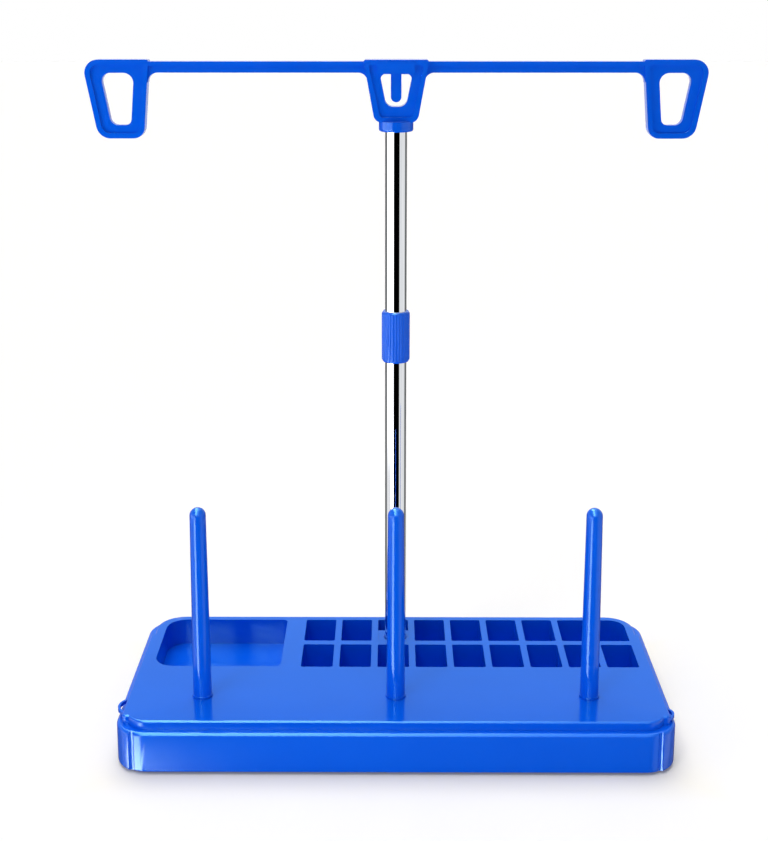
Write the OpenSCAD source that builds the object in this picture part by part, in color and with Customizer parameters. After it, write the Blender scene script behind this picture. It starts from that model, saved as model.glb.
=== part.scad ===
// Three-spool thread stand: a shallow base with a tray and bobbin slots,
// three upright spool pins, a two-piece pole and a thread guide on top.
// Millimetres, +Z up, origin on the table under the middle of the base,
// front of the stand towards -Y.

/* [Base] */
// Width of the lower shell between its rounded corners
tub_w = 263.6; // [240:0.2:300]
// Depth of the lower shell, front to back
tub_d = 120.2; // [114:0.2:140]
// Corner radius of the lower shell in plan
tub_r = 15; // [12:0.5:20]
// Gap between the table and the lower shell
foot_gap = 1.2; // [0.6:0.1:3]
// Height of the lower shell
tub_h = 19.7; // [16:0.1:26]
// Wall of the lower shell
tub_wall = 2.4; // [1.6:0.1:3]
// Radius of the lower shell's outer top edge
tub_edge_r = 1.6; // [0.6:0.1:2.2]
// Radius of the lower shell's outer bottom edge
tub_low_r = 1; // [0.4:0.1:1]
// How far the side cheeks stand proud of the corners
cheek_out = 0.7; // [0.3:0.1:1]
// Radius of the upright groove at each corner
groove_r = 1.5; // [1.2:0.1:2]
// Depth of that groove
groove_depth = 0.9; // [0.5:0.1:1.1]
// Width of the flange that carries the deck
flange_w = 6.4; // [6.2:0.1:6.8]
// Thickness of that flange
flange_t = 2.2; // [1.4:0.1:3]
// Thickness of the bottom plate
plate_t = 2.2; // [1.8:0.1:3]

/* [Deck] */
// Step from the lower shell in to the deck's edge
deck_step = 4; // [3:0.1:4.1]
// Height of the deck's lip above the lower shell
lip_h = 4.2; // [3.2:0.1:8]
// Thickness of the deck
deck_t = 2.4; // [1.6:0.1:3]
// Wall of the deck's lip
lip_wall = 2.2; // [1.6:0.1:2.3]
// Corner radius of the deck at the front
deck_r_front = 11; // [9:0.5:14]
// Corner radius of the deck at the rear
deck_r_rear = 14; // [10:0.5:16]
// Radius of the deck's outer top edge
deck_edge_r = 1; // [0.4:0.1:1.2]
// How far the side wings stand proud of the deck's corners
wing_out = 1.8; // [0.6:0.1:2.4]
// Distance from the deck's front edge to the wings
wing_front = 5.2; // [4:0.1:12]
// Distance from the deck's rear edge to the wings
wing_rear = 20.6; // [16:0.1:30]
// Corner radius of the side wings
wing_r = 2.4; // [2.4:0.1:4]
// Wall of the tray and the slots
pocket_wall = 1.4; // [1:0.1:1.6]
// Rim from the deck's rear edge to the tray and the slots
rear_rim = 4.4; // [4.3:0.1:8]
// Thickness of the hook loops on the sides
loop_t = 1.1; // [0.8:0.1:1.6]
// Height of the hook loops
loop_h = 1.7; // [1.5:0.1:3.6]

/* [Tray] */
// Distance from the tray to the first slot
tray_gap = 10.4; // [9.6:0.1:30]
// Length of the tray, front to back
tray_d = 53.1; // [30:0.1:56]
// Depth of the tray
tray_depth = 14; // [6:0.1:18]
// Rim from the deck's left edge to the tray
tray_rim = 5.2; // [4.8:0.1:8]
// Corner radius of the tray on its left side
tray_r_left = 10; // [4:0.5:12]
// Corner radius of the tray on its right side
tray_r_right = 2.6; // [1:0.1:8]

/* [Bobbin slots] */
// Rim from the deck's right edge to the last slot
end_rim = 4.6; // [4.4:0.1:12]
// How far the slots lie to the left of the pole
slot_shift = 1.1; // [0:0.1:2]
// Length of one slot, front to back
slot_d = 24.7; // [20:0.1:26]
// Gap between the slots' floors and the bottom plate
slot_floor_gap = 0.4; // [0.3:0.1:4]
// Wall between two slots of a row
slot_gap = 3.3; // [1.6:0.1:5]
// Divider between the two rows
row_gap = 4.3; // [3:0.1:5]
// Slots to the left of the pole
slots_left = 2; // [1:1:2]
// Slots to the right of the pole
slots_right = 6; // [3:1:6]
// Radius of the last rear slot's outer corner
end_slot_r = 8; // [2:0.5:10]

/* [Spool pins] */
// Height of a spool pin above the deck
pin_h = 96.1; // [60:0.1:140]
// Diameter of a spool pin at its foot
pin_foot_dia = 9; // [6:0.1:10]
// Diameter of a spool pin just under its round top
pin_top_dia = 7.7; // [4:0.1:8]
// Diameter of the ring round a pin's foot
pin_ring_dia = 9.8; // [9.2:0.1:14]
// Height of that ring
pin_ring_h = 1.2; // [0.6:0.1:3]
// Distance from the deck's sides to the outer pins
pin_inset = 34.2; // [28:0.1:60]
// Distance from the deck's front edge to the pins
pin_front = 24.8; // [16:0.1:27]
// Diameter of the peg under a pin
peg_dia = 6; // [4:0.1:7]
// Length of the peg under a pin
peg_len = 14; // [8:0.1:15]
// Radial clearance of pegs, tubes and screws in their holes
fit_gap = 0.05; // [0.02:0.01:0.1]

/* [Pole] */
// Outside diameter of both tubes
tube_dia = 10.9; // [8:0.1:12]
// Wall of both tubes
tube_wall = 1; // [0.6:0.1:1.5]
// Distance from the deck's rear edge to the pole's axis
pole_rear = 21.9; // [15:0.1:23]
// Drop from the deck's surface to the socket's rim
socket_drop = 1; // [0:0.1:3]
// Height from the deck to the middle of the sleeve
sleeve_z = 163.3; // [100:0.1:240]
// Length of the sleeve
sleeve_len = 26; // [16:0.1:40]
// Diameter of the sleeve over its ribs
sleeve_dia = 14.2; // [13.6:0.1:18]
// Number of ribs round the sleeve
sleeve_ribs = 28; // [12:1:36]
// Thickness of the stop ring inside the sleeve
stop_t = 1.6; // [1:0.1:3]
// Height from the deck to the underside of the guide's neck
neck_z = 267; // [200:0.5:360]

/* [Thread guide] */
// Span of the guide over the loops' outer corners, before they are rounded
guide_span = 306.6; // [240:0.2:340]
// Depth of the arms and loops, front to back
arm_depth = 6; // [4:0.1:8]
// Depth of the yoke, front to back
yoke_depth = 10; // [8:0.1:12]
// How far the panels lie below their rims
panel_drop = 1.1; // [0.4:0.1:1.6]
// Width of the raised rims
rim_w = 2.6; // [1.6:0.1:3]
// Height of an arm
arm_h = 5.5; // [4.6:0.1:7]
// Height of the rib along an arm's top
arm_rib_h = 2; // [1.5:0.1:3]
// How far the loops and the yoke stand above the arms
arm_drop = 0.9; // [0.2:0.1:2]
// Height of a loop
loop_frame_h = 38.4; // [30:0.1:50]
// Width of a loop at its top
loop_top_w = 32.7; // [29:0.1:38]
// Width of a loop at its bottom
loop_bottom_w = 22.3; // [21.3:0.1:28]
// How far a loop's inner side leans out towards its bottom
loop_lean = 3.2; // [0:0.1:4]
// Width of a loop's frame on its inner side
loop_inner_w = 6.9; // [5:0.1:8]
// Width of a loop's frame on its outer side
loop_outer_w = 7.5; // [5:0.1:8.6]
// Width of a loop's frame above and below its window
loop_end_w = 6.5; // [5:0.1:9]
// Radius of the fillets under the arms
fillet_r = 4.6; // [2:0.1:6]
// Height of the yoke above its neck
yoke_h = 30.1; // [28:0.1:36]
// Width of the yoke at its top
yoke_top_w = 32; // [30:0.1:40]
// Width of the yoke at its bottom
yoke_bottom_w = 20.9; // [19.6:0.1:26]
// Diameter of the neck
neck_dia = 17.1; // [14:0.1:19]
// Height of the neck
neck_h = 5; // [4:0.1:8]
// Width of the yoke's window at its top
window_top_w = 16; // [14:0.1:17]
// Width of the yoke's window at its bottom
window_bottom_w = 9.5; // [8.8:0.1:11]
// Height of the yoke's window
window_h = 15.9; // [14.4:0.1:17]
// Width of the bridge over the yoke's window
bridge_w = 18.4; // [16:0.1:22]
// Height of the bridge
bridge_h = 6; // [4:0.1:7]
// Width of the tongue in the yoke's window
tongue_w = 5.2; // [4:0.1:6]
// Length of the tongue
tongue_len = 13.8; // [8:0.1:14.4]
// Length of the guide's spigot inside the upper tube
spigot_len = 18; // [8:0.5:30]

/* [Feet and screws] */
// Diameter of a rubber foot
foot_dia = 16; // [10:0.5:18]
// Depth of the recess that a foot is stuck in
foot_seat = 0.8; // [0.4:0.1:1]
// Distance from the base's sides to the middle of a foot
foot_inset = 16; // [14:0.5:24]
// Diameter of a screw's head
screw_head_dia = 5.6; // [4.5:0.1:6]
// Height of a screw's head
screw_head_h = 1.2; // [0.8:0.1:1.3]
// Diameter of a screw's shank
screw_dia = 2.9; // [2:0.1:3.2]
// Length of a screw under its head
screw_len = 11; // [6:0.5:13]
// Diameter of the posts that take the screws
post_dia = 8; // [6:0.1:8.5]

/* [Hidden] */
$fn = 64;
blue = [0.02, 0.33, 0.88];
chrome = [0.85, 0.86, 0.88];
dark = [0.08, 0.08, 0.09];
steel = [0.6, 0.6, 0.62];
// Small overlap that joins the solids of one piece
eps = 0.01;
// How far a cutting shape reaches past the surface that it opens
cut = 1;
// Room round the feet, the screw heads and the bottom plate
seat_gap = 0.2;
// Radius of the corners that are nearly sharp
corner_r = 1;
// Where each corner groove lies on its arc, from the front or rear face
groove_angle = 27;

tub_top = foot_gap + tub_h;
deck_z = tub_top + lip_h;
deck_w = tub_w - 2 * deck_step;
deck_d = tub_d - 2 * deck_step;
deck_front = -deck_d / 2;
deck_rear = deck_d / 2;
plate_top = foot_gap + plate_t;
plate_ledge = tub_wall / 2;

// The slots right of the pole's column fill the deck up to its end rim
slot_w = (deck_w / 2 - end_rim + slot_shift - slots_right * slot_gap) / (slots_right + 0.5);
slot_pitch = slot_w + slot_gap;
slot_depth = deck_z - plate_top - slot_floor_gap - pocket_wall;
rear_row_y = deck_rear - rear_rim - slot_d / 2;
front_row_y = rear_row_y - slot_d - row_gap;
slot_x0 = -slot_shift - slots_left * slot_pitch - slot_w / 2;
tray_x0 = -deck_w / 2 + tray_rim;
tray_x1 = slot_x0 - tray_gap;
tray_y1 = deck_rear - rear_rim;
tray_y0 = tray_y1 - tray_d;

// Each hook loop: distance from the deck's front edge, chord and rise
left_hook = [17.2, 13.2, 3.6];
right_hook = [11.4, 9, 2.6];

pole_y = deck_rear - pole_rear;
socket_top = deck_z - socket_drop;
socket_floor = deck_z - slot_depth;
tube_r = tube_dia / 2;
tube_inner_r = tube_r - tube_wall;
bore_r = tube_r + fit_gap;
// The socket's block fills the front of its slot and ends behind the pole
socket_back = pole_y + bore_r + pocket_wall;
socket_lead = 0.7;

pin_y = deck_front + pin_front;
pin_pitch = deck_w / 2 - pin_inset;
pin_x = [-pin_pitch, 0, pin_pitch];
// The boss round a peg's socket: its wall and its floor
boss_wall = 2;
boss_floor = 3;

sleeve_mid = deck_z + sleeve_z;
sleeve_bottom = sleeve_mid - sleeve_len / 2;
// The sleeve's ribs are buried rods that rise a little above its core
rib_r = 0.75;
rib_rise = 0.3;
sleeve_core_r = sleeve_dia / 2 - rib_rise;
sleeve_band = 1;
sleeve_bevel = 0.7;

neck_bottom = deck_z + neck_z;
neck_top = neck_bottom + neck_h;
// The upper tube ends under the neck's roof, and the yoke is rooted in it
neck_roof = 1;
tube_top = neck_top - neck_roof;
yoke_root = neck_roof / 2;
neck_edge_r = 1.2;
guide_top = neck_top + yoke_h;
arm_top = guide_top - arm_drop;
loop_side = guide_span / 2;

// Corner radii, from the pole's side at the bottom round to it at the top
loop_radii = [5.6, 7, 6.6, corner_r];
loop_window_radii = [3, 3.9, 4.1, 4.8];
// Corner radii, from the left at the bottom round to the left at the top
yoke_radii = [4.6, 4.6, corner_r, corner_r];
window_radii = [4.3, 4.3, 2.3, 2.3];
// How far the bridge's faces stand proud of the yoke's rims
bridge_out = 0.3;

foot_x = tub_w / 2 - foot_inset;
foot_y = tub_d / 2 - foot_inset;
foot_h = foot_gap + foot_seat;
screw_seat = foot_gap + screw_head_h;
screw_head_room = 0.4;
// The screws' posts: two at the front edge between the pins, three in front
// of the pockets and one between the tray and the slots
post_front = 8.4;
post_side = 13;
post_room = 2;
post_front_x = pin_pitch - post_side;
post_front_y = deck_front + post_front;
post_side_x = deck_w / 2 - post_side;
post_mid_y = front_row_y - slot_d / 2 - pocket_wall - post_dia / 2 - post_room;
post_gap_x = (tray_x1 + slot_x0) / 2;
screw_at = [
  [-post_front_x, post_front_y], [post_front_x, post_front_y],
  [-post_side_x, post_mid_y], [0, post_mid_y], [post_side_x, post_mid_y],
  [post_gap_x, rear_row_y]
];

// Corner helpers: the unit vector between two points, and for a corner of a
// convex outline the distance to its tangent points and its arc's centre
function unit(a, b) = (b - a) / norm(b - a);
function half_angle(p, c, n) = acos(unit(c, p) * unit(c, n)) / 2;
function tangent_len(p, c, n, r) = r / tan(half_angle(p, c, n));
function arc_centre(p, c, n, r) =
  let (m = unit(c, p) + unit(c, n))
  c + m / norm(m) * r / sin(half_angle(p, c, n));

// Corner radii of an outline that lies inside another one by d
function inner_radii(radii, d) = [for (r = radii) max(r - d, corner_r)];

// A convex outline with each corner rounded by its own radius
module soft_outline(pts, radii) {
  k = len(pts);
  polygon([
    for (i = [0 : k - 1])
      let (p = pts[(i + k - 1) % k], c = pts[i], n = pts[(i + 1) % k])
      let (t = tangent_len(p, c, n, radii[i]))
      each [c + unit(c, p) * t, c + unit(c, n) * t]
  ]);
  for (i = [0 : k - 1])
    translate(arc_centre(pts[(i + k - 1) % k], pts[i], pts[(i + 1) % k], radii[i]))
      circle(r = radii[i]);
}

// A rounded rectangle from its corners, with radii from front left round
// to rear left
module soft_rect(x0, y0, x1, y1, radii) {
  soft_outline([[x0, y0], [x1, y0], [x1, y1], [x0, y1]], radii);
}

module centred_rect(w, d, r_front, r_rear) {
  soft_rect(-w / 2, -d / 2, w / 2, d / 2, [r_front, r_front, r_rear, r_rear]);
}

// The round rods that make a slab's round edge, with their axes at height z
module round_rim(w, d, r_front, r_rear, e, z) {
  for (s = [-1, 1]) {
    r = s < 0 ? r_front : r_rear;
    translate([0, s * (d / 2 - e), z])
      rotate([0, 90, 0]) cylinder(r = e, h = w - 2 * r, center = true);
    for (side = [-1, 1])
      translate([side * (w / 2 - e), 0, z])
        rotate([-s * 90, 0, 0]) cylinder(r = e, h = d / 2 - r);
  }
  for (q = [0 : 3]) {
    r = q < 2 ? r_rear : r_front;
    translate([(q == 0 || q == 3 ? 1 : -1) * (w / 2 - r), (q < 2 ? 1 : -1) * (d / 2 - r), z])
      rotate([0, 0, q * 90])
        rotate_extrude(angle = 90) translate([r - e, 0]) circle(r = e);
  }
}

// A slab with round corners in plan, a round outer top edge and, if e_low is
// given, a round outer bottom edge
module soft_slab(w, d, r_front, r_rear, h, e, e_low = 0) {
  translate([0, 0, e_low])
    linear_extrude(h - e - e_low) centred_rect(w, d, r_front, r_rear);
  translate([0, 0, h / 2])
    linear_extrude(h / 2) centred_rect(w - 2 * e, d - 2 * e, r_front - e, r_rear - e);
  round_rim(w, d, r_front, r_rear, e, h - e);
  if (e_low > 0) {
    linear_extrude(h / 2)
      centred_rect(w - 2 * e_low, d - 2 * e_low, r_front - e_low, r_rear - e_low);
    round_rim(w, d, r_front, r_rear, e_low, e_low);
  }
}

// Front elevation to solid: x stays, y becomes height, and the depth is
// centred on the pole's plane
module upright(depth) {
  translate([0, pole_y + depth / 2, 0])
    rotate([90, 0, 0]) linear_extrude(depth) children();
}

// Lower shell
module tub_block() {
  translate([0, 0, foot_gap])
    soft_slab(tub_w, tub_d, tub_r, tub_r, tub_h, tub_edge_r, tub_low_r);
}

module corner_grooves() {
  reach = tub_r + groove_r - groove_depth;
  for (sx = [-1, 1], sy = [-1, 1])
    translate([
      sx * (tub_w / 2 - tub_r + reach * sin(groove_angle)),
      sy * (tub_d / 2 - tub_r + reach * cos(groove_angle)),
      0
    ])
      cylinder(r = groove_r, h = tub_top + cut);
}

module cheeks() {
  start = tub_w / 2 - tub_r + tub_r * sin(groove_angle) + groove_r / 2;
  r = tub_r + cheek_out;
  intersection() {
    translate([0, 0, foot_gap]) soft_slab(
      tub_w + 2 * cheek_out, tub_d + 2 * cheek_out, r, r, tub_h, tub_edge_r, tub_low_r
    );
    for (sx = [-1, 1])
      translate([sx > 0 ? start : -start - tub_r, -tub_d / 2, 0])
        cube([tub_r, tub_d, tub_top + cut]);
  }
}

module tub() {
  color(blue) difference() {
    union() {
      tub_block();
      cheeks();
    }
    corner_grooves();
    translate([0, 0, foot_gap - cut]) linear_extrude(plate_t + cut)
      centred_rect(tub_w - 2 * plate_ledge, tub_d - 2 * plate_ledge,
        tub_r - plate_ledge, tub_r - plate_ledge);
    translate([0, 0, foot_gap]) linear_extrude(tub_h - flange_t)
      centred_rect(tub_w - 2 * tub_wall, tub_d - 2 * tub_wall,
        tub_r - tub_wall, tub_r - tub_wall);
    linear_extrude(tub_top + cut)
      centred_rect(tub_w - 2 * flange_w, tub_d - 2 * flange_w,
        tub_r - flange_w, tub_r - flange_w);
  }
}

// Deck
module deck_outline(inset) {
  centred_rect(deck_w - 2 * inset, deck_d - 2 * inset,
    deck_r_front - inset, deck_r_rear - inset);
}

module wings() {
  translate([0, (wing_front - wing_rear) / 2, 0]) soft_slab(
    deck_w + 2 * wing_out, deck_d - wing_front - wing_rear, wing_r, wing_r, lip_h, deck_edge_r
  );
}

// Both rows of slots, rear row first
function slot_x(i) = i * slot_pitch - slot_shift;
module slot_shapes() {
  for (i = [-slots_left : slots_right], row = [0, 1]) {
    y = row == 0 ? rear_row_y : front_row_y;
    r_out = row == 0 && i == slots_right ? end_slot_r : corner_r;
    soft_rect(
      slot_x(i) - slot_w / 2, y - slot_d / 2, slot_x(i) + slot_w / 2, y + slot_d / 2,
      [corner_r, corner_r, r_out, corner_r]
    );
  }
}

module slot_block() {
  soft_rect(
    slot_x0 - pocket_wall, front_row_y - slot_d / 2 - pocket_wall,
    slot_x(slots_right) + slot_w / 2 + pocket_wall, rear_row_y + slot_d / 2 + pocket_wall,
    [corner_r, corner_r, end_slot_r + pocket_wall, corner_r]
  );
}

module tray_shape(grow) {
  soft_rect(
    tray_x0 - grow, tray_y0 - grow, tray_x1 + grow, tray_y1 + grow,
    [tray_r_left + grow, tray_r_right + grow, tray_r_right + grow, tray_r_left + grow]
  );
}

module socket_block() {
  half = slot_w / 2 + eps;
  translate([slot_x(0) - half, rear_row_y - slot_d / 2 - eps, deck_z - slot_depth - eps])
    cube([2 * half, socket_back - rear_row_y + slot_d / 2 + eps, slot_depth - socket_drop + eps]);
}

// A half loop on the deck's side wing, for hanging a seam ripper or scissors
module hook_loop(side, hook) {
  chord = hook[1];
  rise = hook[2];
  r = (chord * chord / 4 + rise * rise) / (2 * rise);
  x = deck_w / 2 + wing_out;
  translate([side * (x + rise - r), deck_front + hook[0], deck_z - lip_h / 2 - loop_h / 2])
    intersection() {
      difference() {
        cylinder(r = r, h = loop_h);
        translate([0, 0, -cut]) cylinder(r = r - loop_t, h = loop_h + 2 * cut);
      }
      translate([side > 0 ? r - rise - loop_t : -2 * r, -r, 0])
        cube([r + rise + loop_t, 2 * r, loop_h]);
    }
}

module deck() {
  color(blue) difference() {
    union() {
      difference() {
        translate([0, 0, tub_top]) {
          soft_slab(deck_w, deck_d, deck_r_front, deck_r_rear, lip_h, deck_edge_r);
          wings();
        }
        translate([0, 0, tub_top - cut]) linear_extrude(lip_h - deck_t + cut)
          deck_outline(lip_wall);
      }
      translate([0, 0, deck_z - slot_depth - pocket_wall])
        linear_extrude(slot_depth) slot_block();
      translate([0, 0, deck_z - tray_depth - pocket_wall])
        linear_extrude(tray_depth) tray_shape(pocket_wall);
      for (p = screw_at)
        translate([p[0], p[1], plate_top])
          cylinder(d = post_dia, h = deck_z - plate_top - eps);
      for (x = pin_x)
        translate([x, pin_y, deck_z - peg_len - boss_floor])
          cylinder(r = peg_dia / 2 + fit_gap + boss_wall, h = peg_len + boss_floor - eps);
      hook_loop(-1, left_hook);
      hook_loop(1, right_hook);
    }
    difference() {
      translate([0, 0, deck_z - slot_depth]) linear_extrude(slot_depth + cut) slot_shapes();
      socket_block();
    }
    translate([0, 0, deck_z - tray_depth]) linear_extrude(tray_depth + cut) tray_shape(0);
    translate([0, pole_y, socket_floor]) cylinder(r = bore_r, h = slot_depth + cut);
    translate([0, pole_y, socket_top - socket_lead])
      cylinder(r1 = bore_r, r2 = bore_r + socket_lead, h = socket_lead);
    for (x = pin_x)
      translate([x, pin_y, deck_z - peg_len - fit_gap])
        cylinder(r = peg_dia / 2 + fit_gap, h = peg_len + cut);
    for (p = screw_at)
      translate([p[0], p[1], 0])
        cylinder(r = screw_dia / 2 + fit_gap, h = screw_seat + screw_len + seat_gap);
  }
}

// Bottom plate
module bottom_plate() {
  inset = plate_ledge + seat_gap;
  color(blue) difference() {
    translate([0, 0, foot_gap]) linear_extrude(plate_t)
      centred_rect(tub_w - 2 * inset, tub_d - 2 * inset, tub_r - inset, tub_r - inset);
    for (sx = [-1, 1], sy = [-1, 1])
      translate([sx * foot_x, sy * foot_y, 0]) cylinder(d = foot_dia + 2 * seat_gap, h = foot_h);
    for (p = screw_at) {
      translate([p[0], p[1], 0]) cylinder(r = screw_head_dia / 2 + screw_head_room, h = screw_seat);
      translate([p[0], p[1], 0]) cylinder(d = screw_dia + 2 * seat_gap, h = plate_top + cut);
    }
  }
}

module foot(sx, sy) {
  color(dark) translate([sx * foot_x, sy * foot_y, 0]) cylinder(d = foot_dia, h = foot_h);
}
module front_left_foot() { foot(-1, -1); }
module front_right_foot() { foot(1, -1); }
module rear_left_foot() { foot(-1, 1); }
module rear_right_foot() { foot(1, 1); }

// Six screws that hold the bottom plate and the lower shell to the deck
module base_screws() {
  cross_d = 0.9;
  cross_len = 3;
  cross_w = 0.7;
  color(steel) for (p = screw_at)
    translate([p[0], p[1], 0])
      difference() {
        union() {
          translate([0, 0, foot_gap]) cylinder(d = screw_head_dia, h = screw_head_h);
          translate([0, 0, screw_seat - eps]) cylinder(d = screw_dia, h = screw_len);
        }
        for (a = [0, 90])
          rotate([0, 0, a]) translate([-cross_len / 2, -cross_w / 2, foot_gap - cut])
            cube([cross_len, cross_w, cross_d + cut]);
      }
}

// Spool pins
module spool_pin(x) {
  top_r = pin_top_dia / 2;
  color(blue) translate([x, pin_y, deck_z]) {
    cylinder(d1 = pin_foot_dia, d2 = pin_top_dia, h = pin_h - top_r);
    translate([0, 0, pin_h - top_r]) sphere(r = top_r);
    cylinder(d = pin_ring_dia, h = pin_ring_h);
    translate([0, 0, -peg_len]) cylinder(d = peg_dia, h = peg_len + eps);
  }
}
module left_spool_pin() { spool_pin(pin_x[0]); }
module centre_spool_pin() { spool_pin(pin_x[1]); }
module right_spool_pin() { spool_pin(pin_x[2]); }

// Pole
module tube(z0, z1) {
  color(chrome) translate([0, pole_y, z0]) difference() {
    cylinder(r = tube_r, h = z1 - z0);
    translate([0, 0, -cut]) cylinder(r = tube_inner_r, h = z1 - z0 + 2 * cut);
  }
}
module lower_tube() { tube(socket_floor, sleeve_mid - stop_t / 2); }
module upper_tube() { tube(sleeve_mid + stop_t / 2, tube_top); }

module pole_sleeve() {
  color(blue) translate([0, pole_y, sleeve_bottom]) difference() {
    union() {
      translate([0, 0, sleeve_bevel]) cylinder(r = sleeve_core_r, h = sleeve_len - 2 * sleeve_bevel);
      cylinder(r1 = sleeve_core_r - sleeve_bevel / 2, r2 = sleeve_core_r, h = sleeve_bevel);
      translate([0, 0, sleeve_len - sleeve_bevel])
        cylinder(r1 = sleeve_core_r, r2 = sleeve_core_r - sleeve_bevel / 2, h = sleeve_bevel);
      translate([0, 0, sleeve_band]) linear_extrude(sleeve_len - 2 * sleeve_band)
        for (i = [0 : sleeve_ribs - 1])
          rotate(i * 360 / sleeve_ribs)
            translate([sleeve_core_r + rib_rise - rib_r, 0]) circle(r = rib_r);
    }
    translate([0, 0, -cut]) cylinder(r = tube_inner_r, h = sleeve_len + 2 * cut);
    translate([0, 0, -cut]) cylinder(r = bore_r, h = sleeve_len / 2 - stop_t / 2 + cut);
    translate([0, 0, sleeve_len / 2 + stop_t / 2]) cylinder(r = bore_r, h = sleeve_len);
  }
}

// Thread guide
// The loop's two slanted sides, as distances from the pole at a height
function loop_in(z) = loop_side - loop_top_w + loop_lean * (guide_top - z) / loop_frame_h;
function loop_out(z) =
  loop_side - (loop_top_w - loop_lean - loop_bottom_w) * (guide_top - z) / loop_frame_h;

function loop_points(side, inner, outer, end) =
  let (z1 = guide_top - end, z0 = guide_top - loop_frame_h + end)
  [
    [side * (loop_in(z0) + inner), z0], [side * (loop_out(z0) - outer), z0],
    [side * (loop_out(z1) - outer), z1], [side * (loop_in(z1) + inner), z1]
  ];
function loop_ring(side, d) = loop_points(side, d, d, d);

module loop_frame(side) {
  difference() {
    union() {
      upright(arm_depth) difference() {
        soft_outline(loop_ring(side, 0), loop_radii);
        soft_outline(loop_ring(side, rim_w), inner_radii(loop_radii, rim_w));
      }
      upright(arm_depth - 2 * panel_drop)
        soft_outline(loop_ring(side, rim_w / 2), inner_radii(loop_radii, rim_w / 2));
    }
    upright(arm_depth + 2 * cut)
      soft_outline(
        loop_points(side, loop_inner_w, loop_outer_w, loop_end_w), loop_window_radii
      );
  }
}

// A concave fillet under an arm: x is where it meets the upright side, and
// side says which way from there the arm runs
module arm_fillet(x, side) {
  under = arm_top - arm_h;
  root = 1;
  difference() {
    translate([side > 0 ? x - root : x - fillet_r, under - fillet_r])
      square([fillet_r + root, fillet_r + root]);
    translate([x + side * fillet_r, under - fillet_r]) circle(r = fillet_r);
  }
}

module arms() {
  inner = yoke_top_w / 2 - rim_w;
  outer = loop_side - loop_top_w + rim_w / 2;
  yoke_side = yoke_x(arm_top - arm_h - fillet_r);
  for (side = [-1, 1]) {
    x = side > 0 ? inner : -outer;
    upright(arm_depth) translate([x, arm_top - arm_rib_h]) square([outer - inner, arm_rib_h]);
    upright(arm_depth - 2 * panel_drop) {
      translate([x, arm_top - arm_h]) square([outer - inner, arm_h - eps]);
      arm_fillet(side * loop_in(arm_top - arm_h), -side);
      arm_fillet(side * yoke_side, side);
    }
  }
}

// Half width of the yoke at a height
function yoke_x(z) =
  yoke_top_w / 2 - (yoke_top_w - yoke_bottom_w) / 2 * (guide_top - z) / yoke_h;

function yoke_points(inset) =
  let (top = yoke_top_w / 2 - inset, low = yoke_bottom_w / 2 - inset)
  [[-low, neck_top - yoke_root + inset], [low, neck_top - yoke_root + inset],
    [top, guide_top - inset], [-top, guide_top - inset]];

module yoke() {
  window_top = guide_top - arm_drop - bridge_h;
  window_bottom = window_top - window_h;
  top_x = window_top_w / 2;
  bottom_x = window_bottom_w / 2;
  difference() {
    union() {
      upright(yoke_depth) difference() {
        soft_outline(yoke_points(0), yoke_radii);
        soft_outline(yoke_points(rim_w), inner_radii(yoke_radii, rim_w));
      }
      upright(yoke_depth - 2 * panel_drop)
        soft_outline(yoke_points(rim_w / 2), inner_radii(yoke_radii, rim_w / 2));
    }
    upright(yoke_depth + 2 * cut)
      soft_outline(
        [[-bottom_x, window_bottom], [bottom_x, window_bottom],
          [top_x, window_top], [-top_x, window_top]],
        window_radii
      );
  }
  upright(yoke_depth + 2 * bridge_out)
    soft_rect(
      -bridge_w / 2, window_top, bridge_w / 2, window_top + bridge_h,
      [corner_r, corner_r, corner_r, corner_r]
    );
  upright(yoke_depth / 2) {
    translate([-tongue_w / 2, window_top - tongue_len + tongue_w / 2])
      square([tongue_w, tongue_len - tongue_w / 2 + eps]);
    translate([0, window_top - tongue_len + tongue_w / 2]) circle(d = tongue_w);
  }
}

module neck() {
  r = neck_dia / 2;
  translate([0, pole_y, neck_bottom]) rotate_extrude() difference() {
    union() {
      translate([0, neck_edge_r]) square([r, neck_h - neck_edge_r]);
      square([r - neck_edge_r, neck_h]);
      translate([r - neck_edge_r, neck_edge_r]) circle(r = neck_edge_r);
    }
    translate([0, -cut]) square([bore_r, tube_top - neck_bottom + cut]);
  }
  translate([0, pole_y, tube_top - spigot_len])
    cylinder(r = tube_inner_r - fit_gap, h = spigot_len + eps);
}

module thread_guide() {
  color(blue) {
    for (side = [-1, 1]) loop_frame(side);
    arms();
    yoke();
    neck();
  }
}

deck();
tub();
bottom_plate();
front_left_foot();
front_right_foot();
rear_left_foot();
rear_right_foot();
base_screws();
left_spool_pin();
centre_spool_pin();
right_spool_pin();
lower_tube();
pole_sleeve();
upper_tube();
thread_guide();
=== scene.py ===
"""Thread rack: a blue base with three spool pins, a chromed pole and a thread guide.

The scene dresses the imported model. Everything is in metres, in the model's own frame: +X is
the object's right, -Y its front and +Z up, and the floor is at z = 0.
"""

import math

import bpy
from mathutils import Matrix, Vector

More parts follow.
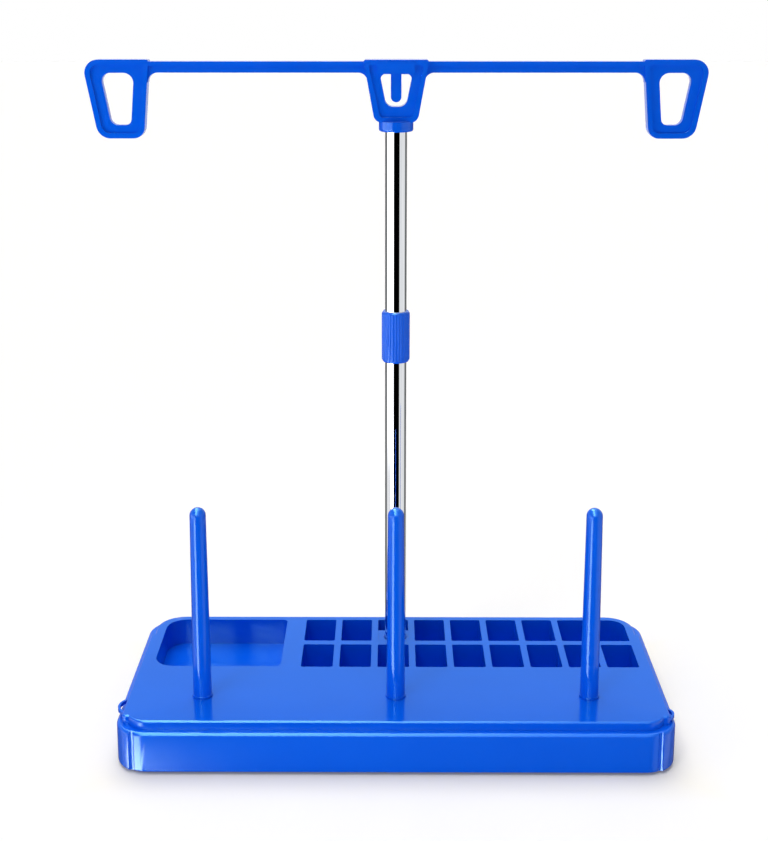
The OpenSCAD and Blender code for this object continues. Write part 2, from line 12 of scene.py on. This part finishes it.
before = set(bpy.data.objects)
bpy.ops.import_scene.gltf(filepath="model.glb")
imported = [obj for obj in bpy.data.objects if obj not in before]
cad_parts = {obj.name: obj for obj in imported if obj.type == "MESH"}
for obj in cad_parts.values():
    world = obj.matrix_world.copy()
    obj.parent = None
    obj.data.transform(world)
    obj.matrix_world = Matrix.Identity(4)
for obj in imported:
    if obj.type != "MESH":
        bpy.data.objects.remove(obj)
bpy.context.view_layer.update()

# Camera, found from the photograph's straight edges and the deck's corners: its place and
# clipping range in metres, its angles in degrees, and its lens and sensor in millimetres
CAMERA_AT = (-0.00295, -0.64997, 0.35827)
CAMERA_PITCH = 11.439
CAMERA_YAW = 0.252
CAMERA_LENS = 59.39
CAMERA_SENSOR = 36.0
CAMERA_SHIFT_Y = -0.173
CAMERA_CLIP = (0.01, 50)

# Colours as sRGB bytes: each material varies between two
BLUE = (0, 93, 233)
BLUE_DEEP = (0, 89, 228)
CHROME = (238, 240, 243)
CHROME_DULL = (226, 229, 233)
RUBBER = (34, 34, 36)
RUBBER_WORN = (46, 46, 48)
STEEL = (168, 170, 174)
STEEL_DULL = (142, 145, 150)
FLOOR_WHITE = (247, 246, 245)
# The floor's near colour is a painted warm tint that cancels the blue light bounced off the
# base.
FLOOR_PAINTED_WARMTH = (247, 243, 233)
WHITE = (1.0, 1.0, 1.0, 1.0)

# Roughness, from and to
PLASTIC_ROUGH = (0.1, 0.15)
SHELL_ROUGH = (0.18, 0.2)
SLEEVE_ROUGH = (0.16, 0.22)
CHROME_ROUGH = (0.03, 0.06)
RUBBER_ROUGH = (0.72, 0.86)
STEEL_ROUGH = (0.28, 0.42)

# Noise: features per metre, levels of detail and, for marks in one direction, the stretch
PIGMENT_NOISE = (22, 3)
GLOSS_NOISE = (160, 4)
PEEL_NOISE = (260, 2)
DRAWN_NOISE = (900, 3, (1, 1, 0.02))
GRAIN_NOISE = (2400, 2)
WEAR_NOISE = (300, 3)
TURNED_NOISE = (1500, 3, (1, 1, 0.1))
NOISE_SPAN = (0.3, 0.7)

# Bumps: height in metres and strength
PEEL_BUMP = (0.00002, 0.15)
GRAIN_BUMP = (0.00006, 0.5)

PLASTIC_IOR = 1.46
GLOSS_TINT = (0.62, 1.0, 1.0, 1.0)

# Edge bevels, in metres
DECK_EDGE = 0.00035
SHELL_EDGE = 0.0003
PIN_EDGE = 0.0002
GUIDE_EDGE = 0.0008
TUBE_EDGE = 0.0002
FOOT_EDGE = 0.0004
SCREW_EDGE = 0.0001
BEVEL_SEGMENTS = 2

# Points this close are joined for shading. Edges are smooth below the first angle, and get a
# bevel above the second.
WELD = 1e-6
SMOOTH_BELOW = math.radians(28)
BEVEL_ABOVE = math.radians(32)

# The floor lies a hair below the feet. Its painted warm tint, which cancels the blue light
# bounced off the base, ends this far from the base.
FLOOR_Z = -0.0002
FLOOR_SIZE = 14.0
FLOOR_GLOW = 0.11
BASE_HALF_WIDTH = 0.133
BASE_HALF_DEPTH = 0.061
PAINTED_WARMTH_REACH = 0.03

# Light levels, where 1 is white. The world's own light falls on everything. The rest is what
# gloss and chrome mirror, with its angles in degrees, see Sky. They mirror it only on paths
# with fewer matt bounces than the limit, which means none.
WORLD_LIGHT = 0.24
MATT_LIMIT = 0.5
HORIZON_SOFT = 3

# Above the horizon: a plain room, tinted from between two heights up
ROOM_LEVEL = 1.05
ROOM_TINT = (0.6, 1.0, 1.0, 1.0)
TINT_RISE = (12, 20)

# Below the horizon: a black flag in front, white sides, and a grey back with one bright
# strip at its middle. All of them, and the strip light, end in the gap's span.
FLAG_SPAN = (-38, 28)
FLAG_SOFT = 3
SIDES_LEVEL = 0.9
SIDES_END = 109
SIDES_SOFT = 5
BACK_LEVEL = 0.16
BACK_STRIP = (160, 168)
BACK_STRIP_LEVEL = 0.8
FLOOR_GAP = (-42, -34)

# The strip light at the left, as the guide and the sleeve, the pins and the base mirror it:
# start, end, softness and level, and the height at which one gives way to the next
HIGH_STRIP = (26, 98, 7, 2.6)
PIN_STRIP = (28, 50, 6, 8.5)
LOW_STRIP = (17, 86, 2.5, 26.0)
PINS_FROM = -18
PINS_SOFT = 2
BASE_FROM = -29
BASE_SOFT = 1

# The boom light overhead: its span, its reach to each side as a share of the sky's radius,
# and its level, which falls from left to right
BOOM_SPAN = (18, 136)
BOOM_SOFT = 6
BOOM_REACH = 0.42
BOOM_REACH_SOFT = 0.06
BOOM_FADE = (-0.2, 0.22)
BOOM_LEVEL = (15.0, 2.2)

# Suns: degrees left of the camera's side, degrees up, strength and width in degrees
SUNS = {
    "key": (38, 54, 0.4, 14),
    "top": (10, 78, 0.65, 30),
    "back": (168, 67, 1.45, 50),
}

# Panels: centre, size and target in metres, power in watts and spread in degrees
PANELS = {
    "front": ((-0.05, -0.45, 0.0155), (0.5, 0.03), (-0.05, 0.0, 0.0155), 0.55, 180),
    "side": ((-0.56, -0.26, 0.31), (0.3, 0.3), (-0.14, 0.0, 0.31), 0.2, 70),
}


def srgb(colour):
    """A linear colour from one written as sRGB bytes."""
    linear = [
        c / 255 / 12.92 if c / 255 <= 0.04045 else ((c / 255 + 0.055) / 1.055) ** 2.4
        for c in colour
    ]
    return (*linear, 1.0)


class Nodes:
    """A node tree, emptied, and a few helpers to build it. A value is a number or a socket."""

    def __init__(self, tree):
        self.tree = tree
        tree.nodes.clear()

    def add(self, kind, **values):
        node = self.tree.nodes.new(kind)
        for key, value in values.items():
            setattr(node, key, value)
        return node

    def link(self, source, target):
        self.tree.links.new(source, target)

    def math(self, kind, *values):
        node = self.add("ShaderNodeMath", operation=kind)
        for socket, value in zip(node.inputs, values):
            if isinstance(value, bpy.types.NodeSocket):
                self.link(value, socket)
            else:
                socket.default_value = value
        return node.outputs[0]

    def times(self, first, *others):
        for value in others:
            first = self.math("MULTIPLY", first, value)
        return first

    def total(self, first, *others):
        for value in others:
            first = self.math("ADD", first, value)
        return first

    def less(self, first, second):
        return self.math("SUBTRACT", first, second)

    def ramp(self, value, start, end, low=0.0, high=1.0, kind="SMOOTHSTEP"):
        """From low at start to high at end, and level beyond them."""
        node = self.add("ShaderNodeMapRange", interpolation_type=kind)
        if start > end:
            start, end, low, high = end, start, high, low
        names = ("From Min", "From Max", "To Min", "To Max")
        for name, number in zip(names, (start, end, low, high)):
            node.inputs[name].default_value = number
        self.link(value, node.inputs["Value"])
        return node.outputs["Result"]

    def mix(self, value, first, second):
        """A colour between two, by a value from 0 to 1."""
        node = self.add("ShaderNodeMix", data_type="RGBA")
        node.inputs["A"].default_value = first
        node.inputs["B"].default_value = second
        self.link(value, node.inputs["Factor"])
        return node.outputs["Result"]


class Shader(Nodes):
    """A material with one Principled BSDF, fed by noise."""

    def __init__(self, name):
        self.material = bpy.data.materials.new(name)
        self.material.use_nodes = True
        super().__init__(self.material.node_tree)
        out = self.add("ShaderNodeOutputMaterial")
        self.bsdf = self.add("ShaderNodeBsdfPrincipled")
        self.link(self.bsdf.outputs["BSDF"], out.inputs["Surface"])
        self.coords = self.add("ShaderNodeTexCoord")

    def set(self, **values):
        for key, value in values.items():
            self.bsdf.inputs[key.replace("_", " ")].default_value = value

    def noise(self, scale, detail, stretch=(1, 1, 1)):
        """Noise over the object's own metres: scale is features per metre."""
        mapping = self.add("ShaderNodeMapping")
        mapping.inputs["Scale"].default_value = stretch
        self.link(self.coords.outputs["Object"], mapping.inputs["Vector"])
        node = self.add("ShaderNodeTexNoise")
        node.inputs["Scale"].default_value = scale
        node.inputs["Detail"].default_value = detail
        self.link(mapping.outputs["Vector"], node.inputs["Vector"])
        return node.outputs["Fac"]

    def spread(self, noise, low, high):
        """Noise as a value from low to high."""
        return self.ramp(noise, *NOISE_SPAN, low, high, "LINEAR")

    def colour(self, noise, first, second):
        colour = self.mix(self.spread(noise, 0, 1), srgb(first), srgb(second))
        self.link(colour, self.bsdf.inputs["Base Color"])

    def roughness(self, noise, low, high):
        self.link(self.spread(noise, low, high), self.bsdf.inputs["Roughness"])

    def bump(self, noise, height, strength):
        node = self.add("ShaderNodeBump")
        node.inputs["Distance"].default_value = height
        node.inputs["Strength"].default_value = strength
        self.link(noise, node.inputs["Height"])
        self.link(node.outputs["Normal"], self.bsdf.inputs["Normal"])


def moulded_plastic(name, rough=PLASTIC_ROUGH):
    """Glossy injection-moulded plastic: cloudy pigment, uneven gloss, faint orange peel."""
    shader = Shader(name)
    shader.colour(shader.noise(*PIGMENT_NOISE), BLUE, BLUE_DEEP)
    shader.roughness(shader.noise(*GLOSS_NOISE), *rough)
    shader.bump(shader.noise(*PEEL_NOISE), *PEEL_BUMP)
    shader.set(IOR=PLASTIC_IOR, Specular_Tint=GLOSS_TINT)
    return shader.material


def polished_chrome(name):
    """Chrome plating on a drawn tube: a mirror with faint marks along its length."""
    shader = Shader(name)
    drawn = shader.noise(*DRAWN_NOISE)
    shader.colour(drawn, CHROME, CHROME_DULL)
    shader.roughness(drawn, *CHROME_ROUGH)
    shader.set(Metallic=1.0)
    return shader.material


def matt_rubber(name):
    """Dull black rubber with a fine grain, more worn in places."""
    shader = Shader(name)
    grain = shader.noise(*GRAIN_NOISE)
    shader.colour(grain, RUBBER, RUBBER_WORN)
    shader.roughness(shader.noise(*WEAR_NOISE), *RUBBER_ROUGH)
    shader.bump(grain, *GRAIN_BUMP)
    return shader.material


def plated_steel(name):
    """Zinc-plated screw heads, a little dull, with turned marks."""
    shader = Shader(name)
    turned = shader.noise(*TURNED_NOISE)
    shader.colour(turned, STEEL, STEEL_DULL)
    shader.roughness(turned, *STEEL_ROUGH)
    shader.set(Metallic=1.0)
    return shader.material


def smoothing(name, angle):
    """A modifier tree that joins split points and smooths all edges below an angle."""
    tree = bpy.data.node_groups.new(name, "GeometryNodeTree")
    tree.interface.new_socket("Geometry", in_out="INPUT", socket_type="NodeSocketGeometry")
    tree.interface.new_socket("Geometry", in_out="OUTPUT", socket_type="NodeSocketGeometry")
    add = tree.nodes.new
    link = tree.links.new
    start, end = add("NodeGroupInput"), add("NodeGroupOutput")
    weld = add("GeometryNodeMergeByDistance")
    weld.inputs["Distance"].default_value = WELD
    soft = add("GeometryNodeSetShadeSmooth")
    sharp = add("GeometryNodeSetShadeSmooth")
    sharp.domain = "EDGE"
    sharp.inputs["Shade Smooth"].default_value = False
    turn = add("GeometryNodeInputMeshEdgeAngle")
    over = add("FunctionNodeCompare")
    over.operation = "GREATER_THAN"
    over.inputs["B"].default_value = angle
    link(start.outputs[0], weld.inputs["Geometry"])
    link(weld.outputs["Geometry"], soft.inputs["Geometry"])
    link(soft.outputs["Geometry"], sharp.inputs["Geometry"])
    link(turn.outputs["Unsigned Angle"], over.inputs["A"])
    link(over.outputs["Result"], sharp.inputs["Selection"])
    link(sharp.outputs["Geometry"], end.inputs[0])
    return tree


SMOOTHING = smoothing("smooth_below_angle", SMOOTH_BELOW)


def dress(names, material, edge=0.0):
    """Gives CAD nodes their material, smooth shading and, with edge, a small bevel."""
    for name in names:
        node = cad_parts[name]
        node.data.materials.clear()
        node.data.materials.append(material)
        smooth = node.modifiers.new("smooth", "NODES")
        smooth.node_group = SMOOTHING
        if edge:
            bevel = node.modifiers.new("edges", "BEVEL")
            bevel.width = edge
            bevel.segments = BEVEL_SEGMENTS
            bevel.limit_method = "ANGLE"
            bevel.angle_limit = BEVEL_ABOVE
            bevel.harden_normals = True
            bevel.use_clamp_overlap = True


PINS = ["left_spool_pin", "centre_spool_pin", "right_spool_pin"]
FEET = ["front_left_foot", "front_right_foot", "rear_left_foot", "rear_right_foot"]
dress(["deck"], moulded_plastic("base_plastic"), DECK_EDGE)
dress(["tub", "bottom_plate"], moulded_plastic("shell_plastic", SHELL_ROUGH), SHELL_EDGE)
dress(PINS, moulded_plastic("pin_plastic"), PIN_EDGE)
dress(["pole_sleeve"], moulded_plastic("sleeve_plastic", SLEEVE_ROUGH))
dress(["thread_guide"], moulded_plastic("guide_plastic"), GUIDE_EDGE)
dress(["lower_tube", "upper_tube"], polished_chrome("chrome_tube"), TUBE_EDGE)
dress(FEET, matt_rubber("foot_rubber"), FOOT_EDGE)
dress(["base_screws"], plated_steel("screw_steel"), SCREW_EDGE)


def seen_rays(nodes):
    """1 for the rays that show a surface: camera, mirror and glass."""
    path = nodes.add("ShaderNodeLightPath").outputs
    first = nodes.math("MAXIMUM", path["Is Camera Ray"], path["Is Glossy Ray"])
    return nodes.math("MAXIMUM", first, path["Is Transmission Ray"])


def floor_colour_with_painted_warmth(nodes):
    """A painted warm tint close to the base, which cancels the blue that light bounced off the
    plastic gives the floor.
    """
    place = nodes.add("ShaderNodeNewGeometry")
    split = nodes.add("ShaderNodeSeparateXYZ")
    nodes.link(place.outputs["Position"], split.inputs[0])
    beyond = [
        nodes.less(nodes.math("ABSOLUTE", value), reach)
        for value, reach in zip(split.outputs, (BASE_HALF_WIDTH, BASE_HALF_DEPTH))
    ]
    # Painted warm tint: full at the base's outline, gone at the reach.
    fade = nodes.ramp(nodes.math("MAXIMUM", *beyond), 0.0, PAINTED_WARMTH_REACH)
    return nodes.mix(fade, srgb(FLOOR_PAINTED_WARMTH), srgb(FLOOR_WHITE))


def floor_material():
    """A white table that shows the soft shadow; its glow is only for the rays that see it."""
    material = bpy.data.materials.new("floor_white")
    material.use_nodes = True
    nodes = Nodes(material.node_tree)
    out = nodes.add("ShaderNodeOutputMaterial")
    both = nodes.add("ShaderNodeAddShader")
    diffuse = nodes.add("ShaderNodeBsdfDiffuse")
    glow = nodes.add("ShaderNodeEmission")
    nodes.link(floor_colour_with_painted_warmth(nodes), diffuse.inputs["Color"])
    nodes.link(nodes.times(seen_rays(nodes), FLOOR_GLOW), glow.inputs["Strength"])
    nodes.link(diffuse.outputs[0], both.inputs[0])
    nodes.link(glow.outputs[0], both.inputs[1])
    nodes.link(both.outputs[0], out.inputs["Surface"])
    return material


def lay_floor():
    """The floor's square. Gloss and chrome mirror the sky's lower half in its place."""
    half = FLOOR_SIZE / 2
    corners = [(-half, -half), (half, -half), (half, half), (-half, half)]
    mesh = bpy.data.meshes.new("floor")
    mesh.from_pydata([Vector((*corner, FLOOR_Z)) for corner in corners], [], [(0, 1, 2, 3)])
    mesh.materials.append(floor_material())
    floor = bpy.data.objects.new("floor", mesh)
    bpy.context.scene.collection.objects.link(floor)
    floor.visible_glossy = False


class Sky(Nodes):
    """The studio round the object, as node arithmetic on a ray's direction.

    Azimuth is in degrees to the left of the camera's side, and the overhead angle goes up
    from the camera's side, over the top and down behind.
    """

    def __init__(self, tree):
        super().__init__(tree)
        coords = self.add("ShaderNodeTexCoord")
        split = self.add("ShaderNodeSeparateXYZ")
        self.link(coords.outputs["Generated"], split.inputs[0])
        self.x, y, self.z = split.outputs
        front = self.times(y, -1)
        left = self.times(self.x, -1)
        self.azimuth = self.degrees(self.math("ARCTAN2", left, front))
        self.off_front = self.math("ABSOLUTE", self.azimuth)
        self.overhead = self.degrees(self.math("ARCTAN2", self.z, front))
        self.rise = self.degrees(self.math("ARCSINE", self.z))

    def degrees(self, angle):
        return self.times(angle, 180 / math.pi)

    def step(self, value, middle, soft):
        """From 0 below the middle to 1 above it."""
        return self.ramp(value, middle - soft, middle + soft)

    def band(self, value, start, end, soft):
        """1 between start and end, and 0 beyond them."""
        below_end = self.ramp(value, end + soft, end - soft)
        return self.times(self.step(value, start, soft), below_end)

    def strip(self, start, end, soft, level):
        """A light between two azimuths."""
        return self.times(self.band(self.azimuth, start, end, soft), level)

    def round_about(self):
        """The flag, the sides and the back."""
        open_sides = self.less(1.0, self.band(self.azimuth, *FLAG_SPAN, FLAG_SOFT))
        to_back = self.step(self.off_front, SIDES_END, SIDES_SOFT)
        return self.total(
            self.times(open_sides, self.less(1.0, to_back), SIDES_LEVEL),
            self.times(to_back, BACK_LEVEL),
            self.ramp(self.off_front, *BACK_STRIP, 0.0, BACK_STRIP_LEVEL),
        )

    def strip_light(self):
        """The strip light, in three parts from high to low."""
        pins = self.ramp(self.rise, PINS_FROM + PINS_SOFT, PINS_FROM - PINS_SOFT)
        base = self.ramp(self.rise, BASE_FROM + BASE_SOFT, BASE_FROM - BASE_SOFT)
        return self.total(
            self.times(self.strip(*HIGH_STRIP), self.less(1.0, pins)),
            self.times(self.strip(*PIN_STRIP), self.less(pins, base)),
            self.times(self.strip(*LOW_STRIP), base),
        )

    def boom_light(self):
        """The light overhead, brighter at the left."""
        return self.times(
            self.band(self.overhead, *BOOM_SPAN, BOOM_SOFT),
            self.band(self.x, -BOOM_REACH, BOOM_REACH, BOOM_REACH_SOFT),
            self.ramp(self.x, *BOOM_FADE, *BOOM_LEVEL),
        )

    def mirrored(self):
        """What gloss and chrome see: the flag, sides, back and strip light below the
        horizon, a plain room above it, and the boom light."""
        below = self.ramp(self.rise, HORIZON_SOFT, -HORIZON_SOFT)
        floor_gap = self.ramp(self.rise, *FLOOR_GAP)
        low = self.times(below, floor_gap, self.total(self.round_about(), self.strip_light()))
        room = self.times(self.step(self.rise, 0, HORIZON_SOFT), ROOM_LEVEL)
        return self.total(low, room, self.boom_light())


def build_studio():
    """The world: white for the camera, Sky's studio for gloss, and a plain level for the
    light that falls on the object."""
    world = bpy.data.worlds.new("studio")
    bpy.context.scene.world = world
    world.use_nodes = True
    sky = Sky(world.node_tree)
    path = sky.add("ShaderNodeLightPath").outputs
    plain = sky.math("MAXIMUM", path["Is Camera Ray"], path["Is Transmission Ray"])
    direct = sky.math("LESS_THAN", path["Diffuse Depth"], MATT_LIMIT)
    mirror = sky.times(path["Is Glossy Ray"], direct)
    unseen = sky.less(1.0, sky.math("MAXIMUM", plain, mirror))
    level = sky.total(
        plain,
        sky.times(mirror, sky.mirrored()),
        sky.times(unseen, WORLD_LIGHT),
    )
    tinted = sky.times(mirror, sky.ramp(sky.rise, *TINT_RISE))
    light = sky.add("ShaderNodeBackground")
    out = sky.add("ShaderNodeOutputWorld")
    sky.link(sky.mix(tinted, WHITE, ROOM_TINT), light.inputs["Color"])
    sky.link(level, light.inputs["Strength"])
    sky.link(light.outputs[0], out.inputs["Surface"])


def add_lamp(name, kind, away, energy):
    """A lamp that shines from the direction away, and that gloss doesn't mirror."""
    data = bpy.data.lights.new(name, kind)
    data.energy = energy
    lamp = bpy.data.objects.new(name, data)
    bpy.context.scene.collection.objects.link(lamp)
    lamp.rotation_euler = away.to_track_quat("Z", "Y").to_euler()
    lamp.visible_glossy = False
    return lamp


def soft_sun(name, azimuth, elevation, strength, width):
    """A large soft light, azimuth degrees left of the camera's side."""
    a, e = math.radians(azimuth), math.radians(elevation)
    source = Vector((-math.sin(a) * math.cos(e), -math.cos(a) * math.cos(e), math.sin(e)))
    lamp = add_lamp(name, "SUN", source, strength)
    lamp.data.angle = math.radians(width)


def panel(name, centre, size, target, power, spread):
    """A rectangular light that shines from its centre at a target point."""
    lamp = add_lamp(name, "AREA", Vector(centre) - Vector(target), power)
    lamp.data.shape = "RECTANGLE"
    lamp.data.size, lamp.data.size_y = size
    lamp.data.spread = math.radians(spread)
    lamp.location = centre
    lamp.visible_camera = False


def add_camera():
    camera = bpy.data.cameras.new("camera")
    camera.lens = CAMERA_LENS
    camera.sensor_width = CAMERA_SENSOR
    camera.shift_y = CAMERA_SHIFT_Y
    camera.clip_start, camera.clip_end = CAMERA_CLIP
    viewer = bpy.data.objects.new("camera", camera)
    bpy.context.scene.collection.objects.link(viewer)
    viewer.matrix_world = (
        Matrix.Translation(CAMERA_AT)
        @ Matrix.Rotation(math.radians(CAMERA_YAW), 4, "Z")
        @ Matrix.Rotation(math.radians(90 - CAMERA_PITCH), 4, "X")
    )
    bpy.context.scene.camera = viewer


lay_floor()
build_studio()
for name, values in SUNS.items():
    soft_sun(name, *values)
for name, values in PANELS.items():
    panel(name, *values)
add_camera()
bpy.context.scene.view_settings.view_transform = "Standard"
